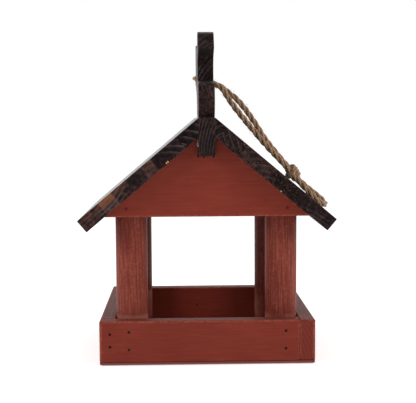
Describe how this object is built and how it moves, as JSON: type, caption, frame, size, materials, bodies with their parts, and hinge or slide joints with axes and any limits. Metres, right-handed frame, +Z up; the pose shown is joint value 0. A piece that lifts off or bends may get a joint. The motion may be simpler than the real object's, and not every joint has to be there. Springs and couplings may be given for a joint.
{
  "type": "hanging bird feeder",
  "caption": "Small gable-roofed wooden bird feeder: square seed tray on round posts, pitched roof, bird-shaped ridge plate and a rope loop to hang it by.",
  "frame": {"origin": "middle of the underside of the tray, on the surface that the feeder stands on", "axes": "+X to the right, -Y to the front (the gable with the beak above it), +Z up; the ridge runs along Y"},
  "size_m": [0.2301, 0.206, 0.2978],
  "materials": {
    "red_painted_pine": "satin red paint, brush and grain just visible",
    "painted_plywood": "satin red paint on plywood",
    "dark_stained_pine": "near-black brown stain, semi-matt, end grain showing",
    "nail_steel": "dull, partly painted over",
    "wood_glue": "dried, translucent grey",
    "jute_rope": "three-strand twisted, hairy"
  },
  "bodies": {
    "feeder": {"tray_front_board": "red_painted_pine", "tray_right_board": "red_painted_pine", "tray_back_board": "red_painted_pine", "tray_left_board": "red_painted_pine", "tray_bottom_panel": "painted_plywood", "post_front_left": "red_painted_pine", "post_front_right": "red_painted_pine", "post_back_left": "red_painted_pine", "post_back_right": "red_painted_pine", "gable_front": "red_painted_pine", "gable_back": "red_painted_pine", "roof_board_left": "dark_stained_pine", "roof_board_right": "dark_stained_pine", "ridge_plate": "dark_stained_pine", "tray_corner_nails": "nail_steel", "tray_post_nails": "nail_steel", "gable_nails": "nail_steel", "roof_nails": "nail_steel", "bottom_panel_nails": "nail_steel", "ridge_glue_beads": "wood_glue", "rope_stub_upper": "jute_rope", "rope_stub_lower": "jute_rope", "rope_stopper_knot": "jute_rope"},
    "hanging_loop": {"rope_strand_upper": "jute_rope", "rope_strand_lower": "jute_rope", "rope_hanging_eye": "jute_rope", "rope_knot": "jute_rope"}
  },
  "joints": [
    {"name": "loop_swing", "type": "hinge", "parent": "feeder", "child": "hanging_loop", "pos_m": [0.0145, 0, 0.2533], "axis": [0, -1, 0], "range_deg": [0, 130]}
  ]
}
